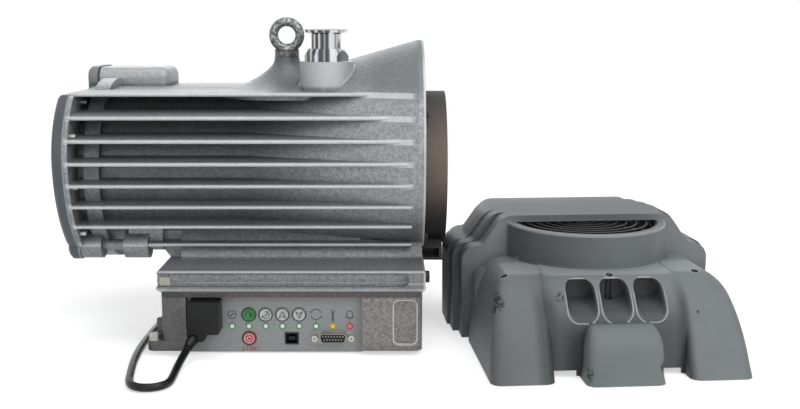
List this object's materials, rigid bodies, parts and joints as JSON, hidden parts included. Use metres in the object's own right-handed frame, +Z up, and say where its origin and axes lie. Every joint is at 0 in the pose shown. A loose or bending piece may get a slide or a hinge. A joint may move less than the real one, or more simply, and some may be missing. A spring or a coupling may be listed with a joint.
{
  "type": "dry scroll vacuum pump",
  "caption": "Dry scroll vacuum pump with finned cast body, lifting eye, flanged inlet, button panel, mains lead and a slatted fan cowl standing beside it.",
  "frame": {"origin": "on the standing plane, under the middle of the base and below the crankshaft axis", "axes": "+X along the crankshaft from the motor end to the fan end, +Y away from the control panel, +Z up through the inlet"},
  "size_m": [0.6398, 0.4798, 0.3021],
  "materials": {
    "cast_aluminium": "sand-cast, fins ground bright at their edges",
    "cover_casting": "smooth blue-grey casting",
    "machined_aluminium": "machined",
    "steel": "ground",
    "zinc_steel": "zinc plated",
    "forged_steel": "forged and galvanised",
    "polished_steel": "turned and polished",
    "motor_iron": "laminated",
    "copper": "varnished copper wire",
    "shroud_metal": "dark brushed coat",
    "base_casting": "cast and painted warm grey",
    "panel_metal": "matt silver",
    "black_plastic": "fine grained",
    "cowl_plastic": "moulded grey",
    "guard_wire": "black coated wire",
    "rubber": "matt",
    "cord_rubber": "smooth sheath",
    "button_white": "white cap with dark rim",
    "button_green": "green cap",
    "button_red": "red cap",
    "lamp_green": "clear lens with green rim",
    "lamp_yellow": "yellow lens",
    "lamp_red": "red lens",
    "circuit_board": "green resist"
  },
  "bodies": {
    "pump": {"pump_casing": "cast_aluminium", "end_cover": "cover_casting", "end_cover_screws": "zinc_steel", "rear_bearing": "steel", "front_bearing": "steel", "stator_core": "motor_iron", "stator_windings": "copper", "bearing_carrier": "machined_aluminium", "carrier_screws": "zinc_steel", "bearing_retainer": "steel", "bellows": "polished_steel", "fixed_scroll": "machined_aluminium", "scroll_screws": "zinc_steel", "fan_ring": "shroud_metal", "fan_ring_screws": "zinc_steel", "shroud_screw": "shroud_metal", "lifting_eye": "forged_steel", "inlet_port": "polished_steel", "inlet_strainer": "polished_steel", "exhaust_port": "polished_steel", "base_housing": "base_casting", "pedestal_bolts": "zinc_steel", "foot_lug_bolts": "zinc_steel", "base_plate": "base_casting", "rubber_feet": "rubber", "foot_screws": "zinc_steel", "control_panel": "panel_metal", "button_switches": "black_plastic", "green_lamps": "lamp_green", "yellow_lamp": "lamp_yellow", "red_lamp": "lamp_red", "control_board": "circuit_board", "board_spacers": "zinc_steel", "usb_socket": "polished_steel", "remote_shell": "polished_steel", "remote_insert": "black_plastic", "remote_jackscrews": "zinc_steel", "mains_inlet": "black_plastic", "mains_connector": "black_plastic", "lead_relief": "cord_rubber", "mains_lead": "cord_rubber", "mains_lead_coil": "cord_rubber", "mains_lead_tail": "cord_rubber", "coil_tie": "black_plastic", "mains_plug": "black_plastic", "plug_pins": "polished_steel"},
    "crank": {"crankshaft": "steel", "rotor": "motor_iron", "counterweight": "steel"},
    "orbiting": {"orbiting_scroll": "machined_aluminium", "orbit_bearing": "steel"},
    "fan": {"fan_impeller": "black_plastic"},
    "cowl": {"fan_cowl": "cowl_plastic", "cowl_grille": "guard_wire"},
    "start_button_body": {"start_button": "button_green"},
    "standby_button_body": {"standby_button": "button_white"},
    "speed_up_button_body": {"speed_up_button": "button_white"},
    "speed_down_button_body": {"speed_down_button": "button_white"},
    "stop_button_body": {"stop_button": "button_red"}
  },
  "joints": [
    {"name": "shaft_spin", "type": "hinge", "parent": "pump", "child": "crank", "pos_m": [0, 0, 0.155], "axis": [1, 0, 0], "continuous": true},
    {"name": "orbit_pin", "type": "hinge", "parent": "crank", "child": "orbiting", "pos_m": [0, 0, 0.15885], "axis": [1, 0, 0], "continuous": true},
    {"name": "fan_spin", "type": "hinge", "parent": "pump", "child": "fan", "pos_m": [0.12, 0, 0.155], "axis": [1, 0, 0], "continuous": true},
    {"name": "start_button_press", "type": "slide", "parent": "pump", "child": "start_button_body", "axis": [0, 1, 0], "range_m": [0, 0.0005], "stiffness_N_per_m": 1000, "springref_m": -0.0005},
    {"name": "standby_button_press", "type": "slide", "parent": "pump", "child": "standby_button_body", "axis": [0, 1, 0], "range_m": [0, 0.0005], "stiffness_N_per_m": 1000, "springref_m": -0.0005},
    {"name": "speed_up_button_press", "type": "slide", "parent": "pump", "child": "speed_up_button_body", "axis": [0, 1, 0], "range_m": [0, 0.0005], "stiffness_N_per_m": 1000, "springref_m": -0.0005},
    {"name": "speed_down_button_press", "type": "slide", "parent": "pump", "child": "speed_down_button_body", "axis": [0, 1, 0], "range_m": [0, 0.0005], "stiffness_N_per_m": 1000, "springref_m": -0.0005},
    {"name": "stop_button_press", "type": "slide", "parent": "pump", "child": "stop_button_body", "axis": [0, 1, 0], "range_m": [0, 0.0005], "stiffness_N_per_m": 1000, "springref_m": -0.0005},
    {"name": "cowl_lift", "type": "slide", "parent": "pump", "child": "cowl", "axis": [0, 0, 1], "range_m": [0, 0.2]}
  ],
  "couplings": [
    {"joint": "orbit_pin", "follows": "shaft_spin", "ratio": -1}
  ]
}
